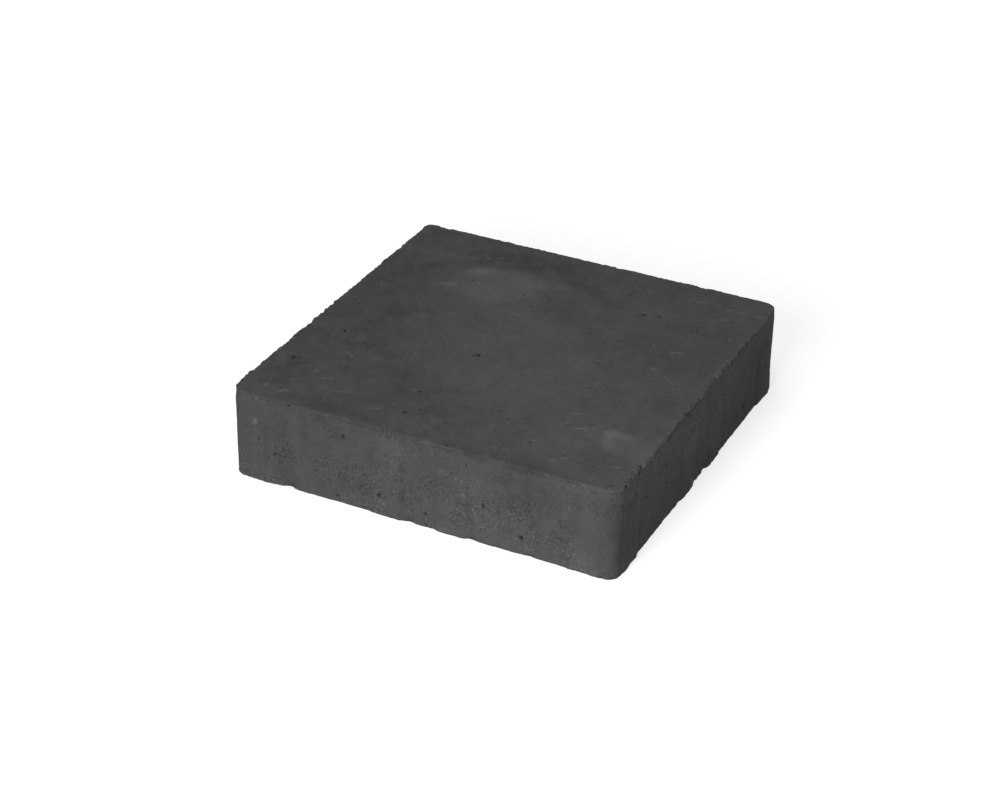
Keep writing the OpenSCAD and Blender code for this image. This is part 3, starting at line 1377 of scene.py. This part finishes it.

# Stains and painted light and shade of a side: place along it, height, half length, half height, strength
# and any look of their own
# Painted light on the front: the row along the whole foot and the broad row low by its right end make it
# paler there
FRONT_STAINS_AND_LIGHT: Rows = (
    (86, 46, 24, 30, -0.2), (105, 20, 80, 60, 0.07), (68, 70, 95, 8, -0.12), (0, 0, 210, 19, 0.13),
    (-20, 60, 120, 18, -0.07), (-18, 56, 20, 9, 0.1, 0, 0.7, 0.5),
)
FRONT_BLOTCHES: Rows = (
    (-127, 12, 17, 13, 0.12), (-118, 56, 20, 26, -0.17), (-89, 18, 15, 13, 0.12), (-77, 40, 13, 10, -0.11),
    (-71, 27, 13, 10, 0.1), (-62, 67, 15, 7, 0.11), (-38, 65, 11, 7, -0.1), (-32, 44, 14, 12, -0.12),
    (-19, 2, 18, 12, -0.15), (21, 3, 17, 9, 0.1), (46, 45, 11, 15, 0.17), (51, 20, 13, 13, 0.12),
    (63, 57, 10, 14, -0.13), (67, 38, 9, 10, -0.13), (80, 9, 11, 10, 0.1), (94, 5, 11, 10, -0.08),
    (110, 58, 13, 10, -0.09), (121, 11, 16, 21, 0.2), (129, 1, 11, 7, 0.26), (144, 14, 7, 9, -0.1),
)
# Painted shade: a dark upright band on the front by its right corner
FRONT_CORNER_SHADE: Rows = ((144.5, 46, 7, 22, -0.16, 0, 0.5, 0.4),)
# Painted light and shade on the right side: darker over the lower half, paler high up, darker low towards
# the back end, paler round the nib in front of the middle and along the far flank of the back nib
RIGHT_LIGHT_AND_STAINS: Rows = (
    (10, -4, 200, 44, -0.16), (-22, 44, 34, 24, 0.07), (90, 26, 50, 34, -0.2, 0, 0.6, 0.6),
    (-20, 66, 170, 34, 0.1), (137, 26, 5, 30, 0.12, 0, 0.8, 0.3), (-134, 5, 13, 11, 0.15, 0, 0.7, 0.4),
)
RIGHT_CORNER_STAINS: Rows = ((-118, 28, 46, 32, -0.16),)

# Small marks, and two bands of painted shade on the sides, with the same columns
TOP_MARKS: Rows = (
    (110, 44, 9, 2, 0.45), (96.5, 125, 7, 2.2, 0.3), (120, 123, 4.5, 2, 0.3), (128.5, 123, 5.5, 2.6, 0.35),
    (121, 106, 7, 2.6, 0.28), (103.5, 14, 2.6, 2.6, 0.42), (90, 46, 1.6, 4, 0.3), (116, 7, 1.5, 4, 0.28),
    (137, 79.5, 2.4, 3.6, 0.3), (143, 123, 5, 4, 0.3), (-128.5, -132.5, 2.4, 3.4, 0.5),
    (-113.5, -134, 6, 2.4, 0.42), (-95.5, -106, 7, 1.9, 0.34), (-77.5, -117.5, 10, 2.4, 0.2),
    (-44, -126, 5, 3, 0.25), (-34, -91, 2.2, 2.2, 0.36), (93, -84.5, 7, 2.4, 0.42),
    (134.5, -119.5, 6, 3.4, 0.36), (93, -131, 3.6, 3, 0.36), (98, -126, 5, 2.4, 0.3),
    (51.5, -134.5, 2.4, 2.6, 0.3), (59.5, -133, 3.6, 2.6, 0.3), (-74, 93, 22, 7, 0.22),
    (-88, 62, 12, 4, 0.3), (-70, 120, 5, 2, 0.3), (88, 142, 5, 2, 0.3), (81.5, -68.5, 5, 2, 0.42),
    (-95, -70.5, 3.5, 2, 0.4), (-78, 115, 2, 3.4, 0.36), (-107, -99.5, 2, 3, 0.36),
)
# Painted shade: the dark upright row by the right flank of the nib left of the middle
FRONT_MARKS_AND_SHADE: Rows = (
    (72, 67, 12, 5, -0.15), (88, 68.5, 12, 3, -0.16), (34, 68.5, 20, 3, -0.12), (105, 68.5, 14, 3.5, -0.14),
    (-20, 68, 15, 5, -0.2), (122.5, 68.5, 4, 1.5, 0.3), (142, 69, 4, 1.5, 0.3), (-129, 48.5, 3, 4, 0.62),
    (-127, 67, 2.6, 1.6, 0.3), (-121.5, 66, 2, 1.4, 0.26), (-12, 30, 4.5, 20, -0.12),
)
# Painted shade: the dark upright row just beyond the far flank of the nib behind the middle
RIGHT_MARKS_AND_SHADE: Rows = (
    (-12, 40, 6, 17, 0.45), (-17, 4.5, 4.5, 5, 0.7), (45, 24, 6, 18, -0.25), (-122, 46, 9, 8, -0.14),
    (4, 56, 9, 7, 0.14), (-48, 60, 22, 9, 0.1), (-124, 60, 2.5, 8, 0.25), (-115, 54, 2, 7, 0.22),
    (-132, 58, 1.8, 7, 0.25), (138, 66, 8, 4, 0.35),
)


@dataclass(frozen=True)
class BlemishesAndPaintedLight:
    """The scars, pores, stains and marks that are set on the stone's faces, painted light and shade among
    them.
    """

    reach: float
    thickness: float
    top_depth: float = 20.0
    edge_depth: float = 8.0
    side_depth: float = 12.0
    side_mark_and_shade_depth: float = 6.0
    top_mark_gain: float = 1.15
    top_mark_look: tuple[float, float] = (DRAW_ANGLE, 0.95)
    front_mark_and_shade_look: tuple[float, float] = (0.0, 0.8)
    right_mark_and_shade_look: tuple[float, float] = (0.0, 0.9)

    def scars(self) -> tuple[Scar, ...]:
        """The chips and lumps along the foot of the sides, on the right arris and at the corners.

        Returns:
            The scars.
        """
        far, top = self.reach, self.thickness
        feet = tuple(Scar(side.spot(along, height, far), radius, depth)
                     for side, rows in SIDE_SCARS.items() for along, height, radius, depth in rows)
        return feet + (
            Scar(Side.RIGHT.spot(-32.7, top, far), radius=3.0, depth=1.2),
            Scar((far - 1.0, far - 1.0, top), radius=12.0, depth=0.5, shade=0.1),
            Scar((far - 2.0, far - 4.0, 2.0), radius=20.0, depth=-0.7),
            Scar((1.0 - far, 1.0 - far, top), radius=11.0, depth=1.5, shade=0.0),
            Scar((3.0 - far, far - 3.0, top - 1.0), radius=9.0, depth=-1.1),
            Scar((far - 3.0, 2.0 - far, 0.0), radius=16.0, depth=-1.1),
        )

    def top_pores(self) -> tuple[Pore, ...]:
        """The pores of the top face."""
        return tuple(Pore((x, y, self.thickness), radius) for x, y, radius in TOP_PORES)

    def side_pores(self) -> tuple[Pore, ...]:
        """The pores of the front and the right side."""
        return tuple(Pore(side.spot(along, height, self.reach), radius)
                     for side, rows in SIDE_PORES.items() for along, height, radius in rows)

    def on_top(self, rows: Rows, depth: float, *look: float) -> tuple[StainOrPaintedLight, ...]:
        """Stains on the top face, from their rows, how far down they reach and the look that they share."""
        return tuple(StainOrPaintedLight((x, y, self.thickness), (run, across, depth), *own, *look)
                     for x, y, run, across, *own in rows)

    def on_side(self, side: Side, rows: Rows, depth: float, *look: float) -> tuple[StainOrPaintedLight, ...]:
        """Stains, marks and painted light and shade on a side, from their rows, how far in they reach and
        the look that they share.
        """
        return tuple(StainOrPaintedLight(side.spot(along, height, self.reach), side.extent(run, depth, rise), *own, *look)
                     for along, height, run, rise, *own in rows)

    def stains_and_painted_light(self) -> tuple[StainOrPaintedLight, ...]:
        """The stains of the top, the front and the right side, and those round two corners, with the painted
        light and shade of the front and the right side.

        Returns:
            The stains.
        """
        far, top = self.reach, self.thickness
        return (
            *self.on_top((*TOP_STAINS, *PATCH_STAINS, *SMUDGE_STAINS), self.top_depth),
            *self.on_top(TOP_BLOTCHES, self.top_depth, *BLOTCH),
            *self.on_top(FRONT_EDGE_STAINS, self.edge_depth),
            *self.on_side(Side.FRONT, FRONT_STAINS_AND_LIGHT, self.side_depth),
            *self.on_side(Side.FRONT, FRONT_BLOTCHES, self.side_depth, *BLOTCH),
            *self.on_side(Side.FRONT, FRONT_CORNER_SHADE, self.edge_depth),
            *self.on_side(Side.RIGHT, RIGHT_LIGHT_AND_STAINS, self.side_depth),
            *self.on_side(Side.RIGHT, RIGHT_CORNER_STAINS, self.edge_depth),
            StainOrPaintedLight((0.5 - far, 2.5 - far, top - 3.4), (13.0, 12.0, 2.8), -0.22, soft=0.6, ragged=0.3),
            StainOrPaintedLight((far - 1.0, 1.0 - far, 24.0), (7.0, 7.0, 12.0), 0.08, soft=0.8, ragged=0.3),
        )

    def marks_and_shade(self) -> tuple[StainOrPaintedLight, ...]:
        """The small pale and dark marks of the top, the front and the right side, with two bands of painted
        shade by nibs.

        Returns:
            The marks.
        """
        top_rows = [(*form, strength * self.top_mark_gain) for *form, strength in TOP_MARKS]
        return (
            *self.on_top(top_rows, self.edge_depth, *self.top_mark_look),
            *self.on_side(Side.FRONT, FRONT_MARKS_AND_SHADE, self.side_mark_and_shade_depth, *self.front_mark_and_shade_look),
            *self.on_side(Side.RIGHT, RIGHT_MARKS_AND_SHADE, self.side_mark_and_shade_depth, *self.right_mark_and_shade_look),
        )


@dataclass(frozen=True)
class PavingStone:
    """The whole stone: its pressed block and its finish, riding on the stone's body."""

    block: PressedBlock
    finish: PressedConcrete

    @classmethod
    def from_frame(cls) -> "PavingStone":
        """Size the stone by its solid.

        Returns:
            The stone.
        """
        low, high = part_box(STONE_NODE)
        length, width, thickness = ((high - low) * PER_METRE)[:]
        blemishes_and_light = BlemishesAndPaintedLight((width - PressedBlock.joint) / 2, thickness)
        side_pores = SidePores(blemishes_and_light.side_pores())
        block = PressedBlock(length, width, thickness, blemishes_and_light.scars(), blemishes_and_light.top_pores(), side_pores)
        return cls(block, PressedConcrete(thickness, blemishes_and_light.stains_and_painted_light(), blemishes_and_light.marks_and_shade()))

    def build(self) -> bpy.types.Object:
        """Make the stone and set it in place of its plain solid.

        Returns:
            The piece.
        """
        piece = self.block.build(STONE_PIECE, self.finish.material())
        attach(piece, STONE_BODY)
        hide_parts(STONE_NODE)
        return piece


def main() -> None:
    """Set up the view and the studio, make the stone and report it."""
    logging.basicConfig(level=logging.INFO, format="%(name)s: %(message)s")
    bpy.context.scene.view_settings.view_transform = "Standard"
    low, high = CAD_BOX
    middle = (low + high) / 2
    Viewpoint().build(middle)
    Studio().build(middle)
    piece = PavingStone.from_frame().build()
    log.info("%s: %d points, %d faces", piece.name, len(piece.data.vertices), len(piece.data.polygons))


if __name__ == "__main__":
    main()
